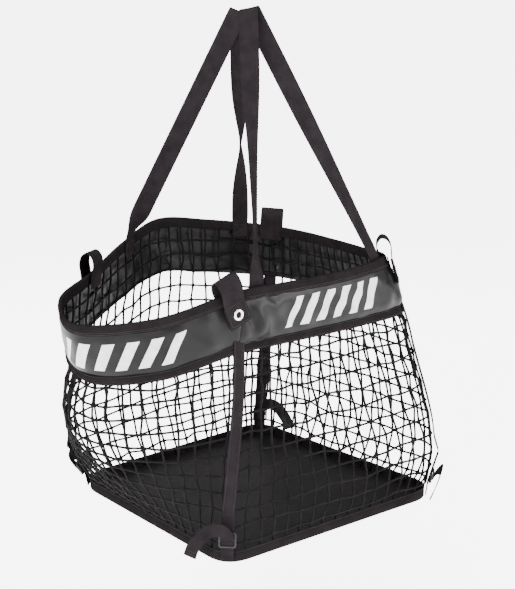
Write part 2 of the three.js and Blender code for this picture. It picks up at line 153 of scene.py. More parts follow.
def around(values, u):
    """Value at u of a quantity listed at sixteen places round the bag."""
    i = math.floor(u * 4)
    t = u * 4 - i
    a, b, c, d = (values[(i + k) % 16] for k in (-1, 0, 1, 2))
    hermite = b * (1 + 2 * t) * (1 - t) ** 2 + c * t * t * (3 - 2 * t)
    return hermite + (c - a) / 2 * t * (1 - t) ** 2 - (d - b) / 2 * t * t * (1 - t)


def base_edge(u):
    at = lambda i: BASE_CORNERS[i % 4]
    nearest = math.floor(u + 0.5)
    corner = at(nearest)
    i = math.floor(u)
    on_side = at(i) + (at(i + 1) - at(i)) * (u - i)
    gone = np.linalg.norm(on_side - corner)
    if gone > BASE_ROUNDING:
        return on_side
    ends = [corner + (o - corner) / np.linalg.norm(o - corner) * BASE_ROUNDING for o in (at(nearest - 1), at(nearest + 1))]
    t = 0.5 + gone / BASE_ROUNDING * np.sign(u - nearest) / 2
    before = ends[0] + (corner - ends[0]) * t
    after = corner + (ends[1] - corner) * t
    return before + (after - before) * t


@functools.lru_cache(maxsize=None)
def wall(u, height):
    rim = rim_at(u)
    shoulder = SHOULDER * rim[2]
    turn = (u - 1.5) * math.pi / 2
    out = np.array([math.cos(turn), math.sin(turn)])
    if height > shoulder:
        flare = around(FLARE, u) * (rim[2] - height) / (rim[2] - shoulder)
        return np.array([*(rim[:2] + out * flare), height - HANG_DROP])
    raised = min(max((height - FOOT_HEIGHT) / (shoulder - FOOT_HEIGHT), 0), 1)
    base = base_edge(u)
    above = rim[:2] + out * around(FLARE, u)
    plan = base + (above - base) * smooth(0, 1, raised)
    plan = plan + out * around(BELLY, u) * math.sin(math.pi * raised**0.75)
    return np.array([*plan, height - HANG_DROP])


def unit(v):
    return v / np.linalg.norm(v)


@functools.lru_cache(maxsize=None)
def wall_tangent(u, height):
    step = wall(u + 0.02, height) - wall(u - 0.02, height)
    return unit(np.array([step[0], step[1], 0]))


def wall_normal(u, height):
    return np.cross(wall_tangent(u, height), UP)


def wall_out(u, height, out):
    return wall(u, height) + wall_normal(u, height) * out


def rim_height(u):
    return rim_at(u)[2]


def band_foot(u):
    return rim_height(u) - BAND_HEIGHT


def seat(u, low, high, lean=0):
    """Frame on the wall: X to the left seen from outside, Y outward, Z up the wall, origin at the upper height."""
    foot = wall(u, low)
    rise = wall(u, high) - foot
    out = unit(np.cross(rise, -wall_tangent(u, high)))
    up = np.array(Matrix.Rotation(math.radians(lean), 3, Vector(out)) @ Vector(unit(rise)))
    return np.array([np.cross(out, up), out, up]), foot + up * np.linalg.norm(rise)


def in_seat(where, points):
    axes, origin = where
    return np.asarray(points) @ axes + origin


# ---------- mesh helpers ----------


def new_object(name, verts, faces, uvs, material, smooth_faces=None):
    mesh = bpy.data.meshes.new(name)
    mesh.from_pydata(np.asarray(verts).tolist(), [], faces)
    layer = mesh.uv_layers.new(name="weave")
    layer.data.foreach_set("uv", np.asarray(uvs, dtype=np.float32).ravel())
    count = len(mesh.polygons) if smooth_faces is None else smooth_faces
    flags = np.zeros(len(mesh.polygons), dtype=bool)
    flags[:count] = True
    mesh.polygons.foreach_set("use_smooth", flags)
    mesh.materials.append(material)
    mesh.update()
    obj = bpy.data.objects.new(name, mesh)
    bpy.context.scene.collection.objects.link(obj)
    return obj


def loft(name, rings, material, closed=False, start=0.0):
    """A closed body through rings of points, with UVs in metres: across the ring, and along the loft from start."""
    rings = np.asarray(rings)
    n, m = rings.shape[:2]
    spans = n if closed else n - 1
    i, j = (x.ravel() for x in np.meshgrid(np.arange(spans), np.arange(m), indexing="ij"))
    nxt = (i + 1) % n
    quads = np.stack([i * m + j, nxt * m + j, nxt * m + (j + 1) % m, i * m + (j + 1) % m], -1)
    centre = rings.mean(axis=1)
    hops = np.linalg.norm(np.roll(centre, -1, axis=0) - centre, axis=1)
    along = np.concatenate([[0], np.cumsum(hops)]) + start
    middle = rings[n // 2]
    across = np.concatenate([[0], np.cumsum(np.linalg.norm(np.roll(middle, -1, axis=0) - middle, axis=1))])
    uvs = np.stack(
        [
            np.stack([across[j], along[i]], -1),
            np.stack([across[j], along[i + 1]], -1),
            np.stack([across[j + 1], along[i + 1]], -1),
            np.stack([across[j + 1], along[i]], -1),
        ],
        1,
    ).reshape(-1, 2)
    faces = quads.tolist()
    if not closed:
        last = (n - 1) * m
        faces += [list(range(m)), [last + k for k in reversed(range(m))]]
        caps = [[across[k], 0] for k in range(m)] + [[across[k], along[n - 1]] for k in reversed(range(m))]
        uvs = np.concatenate([uvs, caps])
    return new_object(name, rings.reshape(-1, 3), faces, uvs, material, len(quads))


def section(width, thickness, count=9):
    """Outline of flat webbing with rounded edges, as [across, face] pairs: one face, then the other back."""
    s = np.sin(np.linspace(-1, 1, count) * math.pi / 2)
    half = thickness / 2 * np.sqrt(1 - np.abs(s) ** 12 * 0.98)
    top = np.stack([s * width / 2, half], -1)
    return np.concatenate([top, top[::-1] * [1, -1]])


def frames(at, across):
    """Unit across and face directions at each station of a strap."""
    at, across = np.asarray(at), np.asarray(across, float)
    along = np.gradient(at, axis=0)
    along /= np.linalg.norm(along, axis=1, keepdims=True)
    face = np.cross(along, across)
    face /= np.linalg.norm(face, axis=1, keepdims=True)
    return np.cross(face, along), face


def ribbon(name, at, across, width, thickness, material, cup=0.0):
    """Flat webbing along a path; cup bows its middle out of its face, as a share of the width."""
    side, face = frames(at, across)
    outline = section(width, thickness)
    bow = cup * width * (1 - (2 * outline[:, 0] / width) ** 2)
    rings = (
        np.asarray(at)[:, None]
        + side[:, None] * outline[None, :, :1]
        + face[:, None] * (outline[None, :, 1:] + bow[None, :, None])
    )
    return loft(name, rings, material)


def tubes(name, paths, radii, material, sides=6, twist=0.0):
    """Many thin closed cords in one mesh. radii is one list for each path."""
    verts, faces, uvs = [], [], []
    for path, radius in zip(paths, radii):
        path = np.asarray(path)
        start = len(verts)
        along = np.gradient(path, axis=0)
        along /= np.linalg.norm(along, axis=1, keepdims=True)
        seed = UP if abs(along[0][2]) < 0.8 else np.array([1.0, 0, 0])
        side = np.cross(along, seed)
        side /= np.linalg.norm(side, axis=1, keepdims=True)
        face = np.cross(along, side)
        turn = np.linspace(0, 2 * math.pi, sides, endpoint=False)
        ring = side[:, None] * np.cos(turn)[None, :, None] + face[:, None] * np.sin(turn)[None, :, None]
        verts.extend((path[:, None] + ring * np.asarray(radius)[:, None, None]).reshape(-1, 3).tolist())
        gone = np.concatenate([[0], np.cumsum(np.linalg.norm(np.diff(path, axis=0), axis=1))])
        for i in range(len(path) - 1):
            for k in range(sides):
                a, b = start + i * sides + k, start + i * sides + (k + 1) % sides
                faces.append([a, b, b + sides, a + sides])
                uvs.extend([[k / sides, gone[i]], [(k + 1) / sides, gone[i]], [(k + 1) / sides, gone[i + 1]], [k / sides, gone[i + 1]]])
        last = start + (len(path) - 1) * sides
        faces.append([start + k for k in reversed(range(sides))])
        faces.append([last + k for k in range(sides)])
        uvs.extend([[0, 0]] * (2 * sides))
    return new_object(name, verts, faces, uvs, material)


STITCH_PITCH = 3.6 * MM
STITCH_LENGTH = 2.7 * MM
STITCH_RADIUS = 0.42 * MM


def stitch_row(path, normals):
    """Short raised thread strokes along a sewn line: their paths and radii."""
    path, normals = np.asarray(path), np.asarray(normals)
    gone = np.concatenate([[0], np.cumsum(np.linalg.norm(np.diff(path, axis=0), axis=1))])
    starts = np.arange(STITCH_PITCH / 2, gone[-1] - STITCH_LENGTH, STITCH_PITCH)
    shares = np.array([0, 0.18, 0.5, 0.82, 1])
    rise = np.array([-0.3, 0.35, 0.55, 0.35, -0.3]) * STITCH_RADIUS
    width = np.array([0.35, 0.9, 1, 0.9, 0.35]) * STITCH_RADIUS
    rows = []
    for s in starts:
        where = s + shares * STITCH_LENGTH
        at = np.stack([np.interp(where, gone, path[:, k]) for k in range(3)], -1)
        out = np.stack([np.interp(where, gone, normals[:, k]) for k in range(3)], -1)
        rows.append((at + out * rise[:, None], width))
    return rows


def stitching(name, rows, material):
    return tubes(name, [r[0] for r in rows], [r[1] for r in rows], material, sides=5)


# ---------- materials ----------


class Nodes:
    """A material's node tree, with short calls for the few nodes used here."""

    def __init__(self, name, color, roughness, **sockets):
        self.material = bpy.data.materials.new(name)
        self.material.use_nodes = True
        self.tree = self.material.node_tree
        self.shader = self.tree.nodes["Principled BSDF"]
        self.shader.inputs["Base Color"].default_value = (*color, 1)
        self.shader.inputs["Roughness"].default_value = roughness
        for socket, value in sockets.items():
            self.shader.inputs[socket.replace("_", " ")].default_value = value

    def node(self, kind, inputs=(), **settings):
        made = self.tree.nodes.new(kind)
        for key, value in settings.items():
            setattr(made, key, value)
        for key, value in dict(inputs).items():
            if isinstance(value, bpy.types.NodeSocket):
                self.tree.links.new(value, made.inputs[key])
            else:
                made.inputs[key].default_value = value
        return made

    def math(self, operation, a, b=0.0, c=0.0):
        return self.node("ShaderNodeMath", {0: a, 1: b, 2: c}, operation=operation).outputs[0]

    def weave_xy(self):
        split = self.node("ShaderNodeSeparateXYZ", {0: self.node("ShaderNodeUVMap", uv_map="weave").outputs[0]})
        return split.outputs["X"], split.outputs["Y"]

    def place(self):
        return self.node("ShaderNodeTexCoord").outputs["Object"]

    def noise(self, scale, detail=3.0, roughness=0.55, vector=None):
        inputs = {"Vector": vector or self.place(), "Scale": scale, "Detail": detail, "Roughness": roughness}
        return self.node("ShaderNodeTexNoise", inputs).outputs["Fac"]

    def ramp(self, value, low, high, colors):
        made = self.node("ShaderNodeValToRGB", {"Fac": value})
        for stop, at, color in zip(made.color_ramp.elements, (low, high), colors):
            stop.position = at
            stop.color = (*color, 1)
        return made.outputs["Color"]

    def spread(self, value, low, high):
        """A 0 to 1 value mapped to low to high."""
        return self.math("MULTIPLY_ADD", value, high - low, low)

    def wave(self, value, period):
        """0 to 1 ridges along value, a distance in metres."""
        return self.spread(self.math("SINE", self.math("MULTIPLY", value, 2 * math.pi / period)), 0.5, 1.0)

    def mix(self, share, a, b):
        made = self.node("ShaderNodeMix", data_type="RGBA")
        for socket, value in (("Factor", share), ("A", a), ("B", b)):
            target = next(s for s in made.inputs if s.name == socket and (s.type == "RGBA") == (socket != "Factor"))
            if isinstance(value, bpy.types.NodeSocket):
                self.tree.links.new(value, target)
            else:
                target.default_value = value
        return next(s for s in made.outputs if s.type == "RGBA")

    def bump(self, height, strength, distance, under=None):
        inputs = {"Height": height, "Strength": strength, "Distance": distance}
        if under is not None:
            inputs["Normal"] = under
        return self.node("ShaderNodeBump", inputs).outputs["Normal"]

    def join(self, socket, value):
        self.tree.links.new(value, self.shader.inputs[socket])
        return self


def woven(name, dark, light, warp, weft, roughness, depth):
    """Flat woven webbing or tape: rows of yarn along it, crossed by picks that shift from row to row."""
    m = Nodes(name, dark, roughness, Specular_IOR_Level=0.0)
    x, y = m.weave_xy()
    rows = m.wave(x, warp)
    shift = m.math("MULTIPLY", m.math("FLOOR", m.math("DIVIDE", x, warp)), weft / 2)
    picks = m.wave(m.math("ADD", y, shift), weft)
    yarn = m.math("MULTIPLY", m.math("ADD", rows, 0.4), m.math("ADD", picks, 0.6))
    worn = m.noise(38, 4)
    fuzz = m.noise(900, 2)
    tone = m.math("MULTIPLY_ADD", yarn, 0.22, m.math("MULTIPLY", worn, 0.8))
    m.join("Base Color", m.ramp(tone, 0.25, 0.95, (dark, light)))
    m.join("Roughness", m.spread(worn, roughness - 0.1, roughness + 0.12))
    fine = m.bump(fuzz, 0.25, 0.2 * MM)
    m.join("Normal", m.bump(yarn, 0.7, depth, fine))
    return m.material


def coated(name, printed):
    """Coated fabric: a soft gloss over a fine grid of threads, creased, with a plain printed stripe mark."""
    shine = {"Coat_Weight": 0.04, "Coat_Roughness": 0.3} if printed else {}
    m = Nodes(name, (0.006, 0.0055, 0.006), 0.3, Specular_IOR_Level=0.08 if printed else 0.03, **shine)
    x, y = m.weave_xy()
    scrim = m.math("MULTIPLY", m.wave(x, 1.3 * MM), m.wave(y, 1.3 * MM))
    crease = m.noise(24, 5, 0.6)
    rubbed = m.noise(7, 5, 0.65)
    base = m.ramp(rubbed, 0.3, 0.75, ((0.003, 0.0028, 0.003), (0.008, 0.0072, 0.0078)))
    if printed:
        ink = m.ramp(m.noise(55, 4), 0.3, 0.7, ((0.42, 0.41, 0.4), (0.6, 0.59, 0.58)))
        base = m.mix(stripe_mark(m, x, y), base, ink)
    m.join("Base Color", base)
    m.join("Roughness", m.spread(rubbed, 0.34, 0.5) if printed else m.spread(rubbed, 0.55, 0.75))
    threads = m.bump(scrim, 0.35, 0.12 * MM)
    m.join("Normal", m.bump(crease, 0.35, 2.5 * MM, threads))
    return m.material


MARK_REACH = 0.128
MARK_PERIOD = 0.044
MARK_BAR = 0.5
MARK_SLANT = 0.55
MARK_LOW = 0.032
MARK_HIGH = 0.09


def stripe_mark(m, across, along):
    """1 on a row of plain slanted bars, 0 elsewhere; across runs up the band and along runs round it."""
    both = lambda a, b: m.math("MULTIPLY", a, b)
    inside = lambda v, low, high: both(m.math("GREATER_THAN", v, low), m.math("LESS_THAN", v, high))
    middle = MARK_SLANT * (MARK_LOW + MARK_HIGH) / 2
    slanted = m.math("MULTIPLY_ADD", across, -MARK_SLANT, m.math("ADD", along, middle + 20 * MARK_PERIOD))
    bar = m.math("LESS_THAN", m.math("FRACT", m.math("DIVIDE", slanted, MARK_PERIOD)), MARK_BAR)
    reach = inside(slanted, 20 * MARK_PERIOD - MARK_REACH, 20 * MARK_PERIOD + MARK_REACH)
    return both(bar, both(reach, inside(across, MARK_LOW, MARK_HIGH)))


def braided(name, dark, light):
    """Braided net cord: strands that wind round it both ways."""
    m = Nodes(name, dark, 0.7, Specular_IOR_Level=0.02)
    x, y = m.weave_xy()
    one = m.math("SINE", m.math("MULTIPLY_ADD", y, 2 * math.pi / (2.4 * MM), m.math("MULTIPLY", x, 4 * math.pi)))
    two = m.math("SINE", m.math("MULTIPLY_ADD", y, -2 * math.pi / (2.4 * MM), m.math("MULTIPLY", x, 4 * math.pi)))
    strands = m.math("MAXIMUM", one, two)
    tone = m.math("MULTIPLY_ADD", strands, 0.15, m.noise(45, 3))
    m.join("Base Color", m.ramp(tone, 0.3, 0.85, (dark, light)))
    m.join("Roughness", m.spread(m.noise(200, 2), 0.6, 0.85))
    m.join("Normal", m.bump(strands, 0.6, 0.3 * MM))
    return m.material


def nickel():
    m = Nodes("nickel_plate", (0.78, 0.75, 0.7), 0.22, Metallic=1.0)
    scuffs = m.noise(420, 6, 0.7)
    stain = m.noise(60, 4)
    m.join("Base Color", m.ramp(stain, 0.3, 0.75, ((0.62, 0.59, 0.54), (0.84, 0.82, 0.78))))
    m.join("Roughness", m.spread(scuffs, 0.12, 0.42))
    m.join("Normal", m.bump(scuffs, 0.12, 0.1 * MM))
    return m.material


def buckle_finish():
    m = Nodes("buckle_black", (0.008, 0.008, 0.0085), 0.38, Specular_IOR_Level=0.15)
    grain = m.noise(1500, 2)
    rub = m.noise(110, 4)
    m.join("Base Color", m.ramp(rub, 0.35, 0.8, ((0.006, 0.006, 0.0065), (0.02, 0.02, 0.021))))
    m.join("Roughness", m.spread(rub, 0.28, 0.52))
    m.join("Normal", m.bump(grain, 0.2, 0.08 * MM))
    return m.material


def studio_floor():
    m = Nodes("studio_floor", (0.86, 0.86, 0.86), 0.7, Emission_Color=(1, 1, 1, 1), Emission_Strength=4.0)
    m.join("Base Color", m.ramp(m.noise(1.5, 3), 0.2, 0.8, ((0.84, 0.84, 0.84), (0.88, 0.88, 0.88))))
    m.join("Roughness", m.spread(m.noise(9, 3), 0.6, 0.8))
    return m.material


WEBBING = woven("webbing_weave", (0.0056, 0.0047, 0.0053), (0.0165, 0.0138, 0.0154), 1.7 * MM, 2.6 * MM, 0.72, 0.5 * MM)
TAPE = woven("tape_weave", (0.0046, 0.004, 0.0044), (0.0115, 0.0098, 0.0108), 1.0 * MM, 1.5 * MM, 0.74, 0.25 * MM)
PRINTED_FABRIC = coated("band_fabric", True)
PLAIN_FABRIC = coated("base_fabric", False)
CORD = braided("net_braid", (0.003, 0.0028, 0.003), (0.009, 0.008, 0.0085))
THREAD = braided("sewing_thread", (0.016, 0.015, 0.016), (0.05, 0.046, 0.048))
NICKEL = nickel()
BUCKLE = buckle_finish()

# ---------- camera ----------

CAMERA_AZIMUTH = math.radians(-40.33)
CAMERA_ELEVATION = math.radians(13.43)
CAMERA_DISTANCE = 3.018
CAMERA_TARGET_HEIGHT = -0.571
CAMERA_TARGET_RIGHT = 0.026
LENS = 89.84


def camera():
    data = bpy.data.cameras.new("camera")
    data.lens = LENS
    data.sensor_width = 36
    obj = bpy.data.objects.new("camera", data)
    bpy.context.scene.collection.objects.link(obj)
    right = Vector((math.cos(CAMERA_AZIMUTH), math.sin(CAMERA_AZIMUTH), 0))
    level = Vector((math.sin(CAMERA_AZIMUTH), -math.cos(CAMERA_AZIMUTH), 0))
    back = level * math.cos(CAMERA_ELEVATION) + Vector((0, 0, math.sin(CAMERA_ELEVATION)))
    obj.location = right * CAMERA_TARGET_RIGHT + Vector((0, 0, CAMERA_TARGET_HEIGHT)) + back * CAMERA_DISTANCE
    obj.rotation_euler = back.to_track_quat("Z", "Y").to_euler()
    bpy.context.scene.camera = obj


camera()

# ---------- net ----------

NET_COLUMNS = 17
NET_ROWS = 15
NET_TOP = 15 * MM
CORD_RADIUS = 2.1 * MM
CROSSING_SWELL = 0.35
WEAVE_DEPTH = 1.0 * MM
SUBSTEPS = 5


def net_room(u, height):
    """How far the net is drawn in behind the band and the tapes, and how freely its cords stand there."""
    from_top = rim_height(u) - height
    banded = 1 - smooth(118 * MM, 138 * MM, from_top)
    taped = 1 - smooth(20 * MM, 32 * MM, from_top)
    footed = 1 - smooth(16 * MM, 30 * MM, height)
    drawn_in = -1.6 * MM * max(banded, footed) * (1 - 0.6 * taped)
    return drawn_in, 1 - 0.7 * max(0.8 * banded, taped, footed)


def net_node(u_index, row):
    """Where a crossing of the net has slipped to: its place round the bag and its height."""
    column = u_index / NET_COLUMNS
    slip = noise.noise_vector(Vector((column * 7.3, row * 0.61, 3.1)))
    fine = noise.noise_vector(Vector((u_index * 1.9, row * 2.3, 8.7)))
    u = column + slip.x * 0.012 + fine.x * 0.008
    share = row / NET_ROWS
    height = NET_FOOT + (rim_height(u) - NET_TOP - NET_FOOT) * share
    if 0 < row < NET_ROWS:
        height += slip.y * 7 * MM + fine.y * 3.5 * MM
    return u, height


def net_path(nodes, sign):
    """A cord through crossings, easing from one to the next and passing over and under the others."""
    path, radius = [], []
    pairs = np.array(nodes)
    for i in range(len(pairs) - 1):
        for k in range(SUBSTEPS + (i == len(pairs) - 2)):
            w = k / SUBSTEPS
            u, height = spline(pairs, i, w, False)
            drawn_in, free = net_room(u, height)
            out = sign * WEAVE_DEPTH * free * math.cos(math.pi * (i + w))
            path.append(wall_out(round(u, 5), round(height, 6), drawn_in + out))
            near = min(w, 1 - w) * 2
            radius.append(CORD_RADIUS * (1 + CROSSING_SWELL * free * math.exp(-((near / 0.28) ** 2))))
    return path, radius


def net_side(side, name):
    first = side * NET_COLUMNS
    paths, radii = [], []
    for c in range(NET_COLUMNS):
        sign = 1 if c % 2 else -1
        path, radius = net_path([net_node(first + c + 0.5, r) for r in range(NET_ROWS + 1)], sign)
        paths.append(path)
        radii.append(radius)
    for r in range(NET_ROWS + 1):
        sign = -1 if r % 2 else 1
        columns = [first, *(first + c + 0.5 for c in range(NET_COLUMNS)), first + NET_COLUMNS]
        path, radius = net_path([net_node(c, r) for c in columns], sign)
        paths.append(path)
        radii.append(radius)
    obj = tubes(f"cord_net_{name}", paths, radii, CORD)
    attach(obj, "bag")
    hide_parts(f"net_{name}")
    # The net is cut as a rectangle but is mostly holes, so its area is half the round surface of its flat cords.
    return obj


# ---------- band round the mouth ----------

BAND_OUT = 2.4 * MM
BAND_THICKNESS = 1.1 * MM
BAND_FOLD = 9 * MM
MARK_MIDDLE = {"front": 0.262, "right": 0.2, "rear": 0.31, "left": 0.345}


def band_fold(u, height):
    """How far the band's cloth stands off the net: soft folds that die out at its bound edges."""
    from_top = rim_height(u) - height
    hold = smooth(0, 30 * MM, from_top - 10 * MM) * smooth(0, 26 * MM, BAND_HEIGHT - 8 * MM - from_top)
    slanted = u * 3.1 + from_top * 7
    soft = noise.noise(Vector((slanted, from_top * 5, 1.7))) + 0.5 * noise.noise(Vector((slanted * 2.9, from_top * 11, 5.2)))
    crease = 1 - 3 * abs(noise.noise(Vector((u * 8 - from_top * 16, from_top * 5 + u, 9.1))))
    near_corner = math.exp(-(((u + 0.5) % 1 - 0.5) / 0.22) ** 2)
    pleat = near_corner * math.sin(u * 52 + 3 * noise.noise(Vector((u * 4, from_top * 9, 4.4))))
    return hold * BAND_FOLD * (0.5 + 0.8 * soft + 0.2 * crease + 0.3 * pleat)


def band_side(side, name):
    steps, rows = 150, 20
    rings = []
    for i in range(steps + 1):
        u = side + min(max(i / steps, 0.0015), 0.9985)
        shares = np.linspace(0, 1, rows + 1)
        foot, top = band_foot(u), rim_height(u) - 1.6 * MM
        outs = [(h, BAND_OUT + max(band_fold(u, h), 0)) for h in foot + (top - foot) * shares]
        outer = [wall_out(u, h, out) for h, out in outs]
        inner = [wall_out(u, h, out - BAND_THICKNESS) for h, out in outs]
        rings.append([*outer, *reversed(inner)])
    obj = loft(f"band_cloth_{name}", rings, PRINTED_FABRIC, start=-MARK_MIDDLE[name])
    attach(obj, "bag")
    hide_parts(f"band_{name}")


# ---------- tapes ----------


def wall_ring(name, outline, edge, material, ripple, steps=420):
    """A tape all round the bag; outline lists [out, up] points about the edge."""
    rings = []
    for i in range(steps):
        u = 4 * i / steps
        wander = ripple * noise.noise(Vector((math.cos(u * math.pi / 2) * 9, math.sin(u * math.pi / 2) * 9, 2)))
        rings.append([wall_out(u, edge(u) + up + wander * (abs(up) > 5 * MM), out) for out, up in outline])
    return loft(name, rings, material, closed=True)


def sewn_line(edge, up, out, steps=900, span=(0, 4)):
    """A stitch line on the wall all round the bag."""
    us = np.linspace(*span, steps)
    path = [wall_out(u, edge(u) + up, out) for u in us]
    return stitch_row(path, [wall_normal(u, edge(u) + up) for u in us])


def rim_tape():
    inner, outer = -3.1 * MM, 4.9 * MM
    leg_in, leg_out = -1.8 * MM, 3.6 * MM
    middle, radius = (inner + outer) / 2, (outer - inner) / 2
    arc = [(middle - radius * math.cos(a), -2.2 * MM + 2.6 * MM * math.sin(a)) for a in np.linspace(0, math.pi, 9)]
    outline = [
        (leg_in, -RIM_TAPE), (leg_in, -12 * MM), (leg_in, -3 * MM), (leg_out, -3 * MM), (leg_out, -12 * MM),
        (leg_out, -RIM_TAPE + 0.3 * MM), (leg_out + 0.5 * MM, -RIM_TAPE - 0.2 * MM), (outer, -RIM_TAPE + 0.4 * MM),
        (outer, -12 * MM), *reversed(arc), (inner, -12 * MM), (inner, -RIM_TAPE + 0.4 * MM),
        (inner + 0.5 * MM, -RIM_TAPE - 0.2 * MM),
    ]
    obj = wall_ring("rim_tape", outline, rim_height, TAPE, 0.9 * MM)
    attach(obj, "bag")
    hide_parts("rim_binding")
    rows = sewn_line(rim_height, -RIM_TAPE + 3.2 * MM, outer) + sewn_line(rim_height, -RIM_TAPE + 6.4 * MM, outer)
    sewn("rim_stitches", rows)


def sewn(name, rows, body="bag"):
    obj = stitching(name, rows, THREAD)
    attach(obj, body)
    return obj


def flat_outline(inner, outer, low, high):
    edge = 0.35 * MM
    middle = (inner + outer) / 2
    return [
        (inner, low + edge), (middle, low), (outer, low + edge), (outer + 0.15 * MM, (low + high) / 2),
        (outer, high - edge), (middle, high), (inner, high - edge), (inner, (low + high) / 2),
    ]


def hem_tape():
    outline = flat_outline(3.4 * MM, 4.8 * MM, -1 * MM, HEM_TAPE)
    obj = wall_ring("hem_tape", outline[::-1], band_foot, TAPE, 0.6 * MM)
    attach(obj, "bag")
    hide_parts("band_hem")
    rows = sewn_line(band_foot, 2.6 * MM, 4.9 * MM) + sewn_line(band_foot, HEM_TAPE - 2.6 * MM, 4.9 * MM)
    sewn("hem_stitches", rows)


# ---------- base ----------


def base():
    loops, steps = 26, 168
    outline = np.array([wall_out(4 * i / steps, 0.0, 1.5 * MM) for i in range(steps)])
    centre = outline.mean(axis=0)
    verts, faces, uvs = [], [], []
    for lift in (0.0, 1.6 * MM):
        for k in range(1, loops + 1):
            share = k / loops
            for p in outline:
                at = centre + (p - centre) * share
                slack = (1 - share**4) * (-4.5 * MM + 3.5 * MM * noise.noise(Vector(at) * 7))
                verts.append([at[0], at[1], -HANG_DROP + lift + slack])
    for layer, flip in ((0, True), (1, False)):
        start = layer * loops * steps
        mid = len(verts)
        verts.append([centre[0], centre[1], verts[start][2]])
        for j in range(steps):
            n = (j + 1) % steps
            tri = [mid, start + j, start + n]
            faces.append(tri[::-1] if flip else tri)
            for k in range(loops - 1):
                a, b = start + k * steps, start + (k + 1) * steps
                quad = [a + j, b + j, b + n, a + n]
                faces.append(quad[::-1] if flip else quad)
    low, high = (loops - 1) * steps, (2 * loops - 1) * steps
    faces += [[low + j, low + (j + 1) % steps, high + (j + 1) % steps, high + j] for j in range(steps)]
    uvs = [[verts[v][0], verts[v][1]] for face in faces for v in face]
    obj = new_object("base_cloth", verts, faces, uvs, PLAIN_FABRIC)
    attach(obj, "bag")
    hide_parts("base_panel")


def base_tape():
    foot = lambda u: 0.0
    outline = [
        (-16 * MM, -1.2 * MM), (-16 * MM, -0.3 * MM), (1.4 * MM, -0.3 * MM), (1.9 * MM, 0.4 * MM), (1.9 * MM, 11 * MM),
        (1.9 * MM, BASE_TAPE - 0.3 * MM), (2.5 * MM, BASE_TAPE + 0.1 * MM), (3.2 * MM, BASE_TAPE - 0.4 * MM),
        (3.3 * MM, 11 * MM), (3.2 * MM, 1 * MM), (2.4 * MM, -0.8 * MM), (0.6 * MM, -1.3 * MM),
    ]
    obj = wall_ring("base_tape", outline, foot, TAPE, 0.0)
    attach(obj, "bag")
    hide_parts("base_binding")
    sewn("base_stitches", sewn_line(foot, BASE_TAPE - 3 * MM, 3.3 * MM))


# ---------- corner straps, buckles and tails ----------

TAIL_ROUTE = MM * np.array(
    [[0, 14, -14], [1, 17, -4], [8, 21, 5], [22, 22, 8], [38, 21, 2], [52, 19, -12], [64, 16, -30], [70, 13, -48]]
)
TAIL_TURN = math.radians(115)


def corner_strap(corner, name):
    across = wall_tangent(corner, BUCKLE_TOP)
    foot = wall_out(corner, BUCKLE_FOOT, STRAP_OUT)
    rise = wall_out(corner, BUCKLE_TOP, STRAP_OUT) - foot
    straight = [foot + rise * t for t in np.linspace(0, (BUCKLE_HEIGHT + BUCKLE_TRAVEL + 4 * MM) / BUCKLE_HEIGHT, 12)]
    points = [wall_out(corner, 3 * MM, STRAP_OUT), *straight]
    sides = [across] * len(points)
    low = straight[-1][2] + HANG_DROP + 30 * MM
    for height in np.linspace(low, rim_height(corner) - 5 * MM, 13):
        points.append(wall_out(corner, height, STRAP_OUT))
        sides.append(wall_tangent(corner, height))
    at, side = curve(points, 5), curve(sides, 5)
    obj = ribbon(f"corner_web_{name}", at, side, STRAP_WIDTH, 1.6 * MM, WEBBING)
    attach(obj, "bag")
    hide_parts(f"corner_strap_{name}")
    facing, normal = frames(at, side)
    above = at[:, 2] > straight[-1][2]
    rows = []
    for edge in (-1, 1):
        line = at + facing * edge * (STRAP_WIDTH / 2 - 3 * MM) - normal * 0.85 * MM
        rows += stitch_row(line[above], -normal[above])
    sewn(f"corner_stitches_{name}", rows)


def rounded_rectangle(width, height, radius, steps=5):
    points = []
    for cx, cz, start in ((1, 1, 0), (-1, 1, 90), (-1, -1, 180), (1, -1, 270)):
        for k in range(steps + 1):
            a = math.radians(start + 90 * k / steps)
            points.append([cx * (width / 2 - radius) + radius * math.cos(a), cz * (height / 2 - radius) + radius * math.sin(a)])
    return np.array(points)


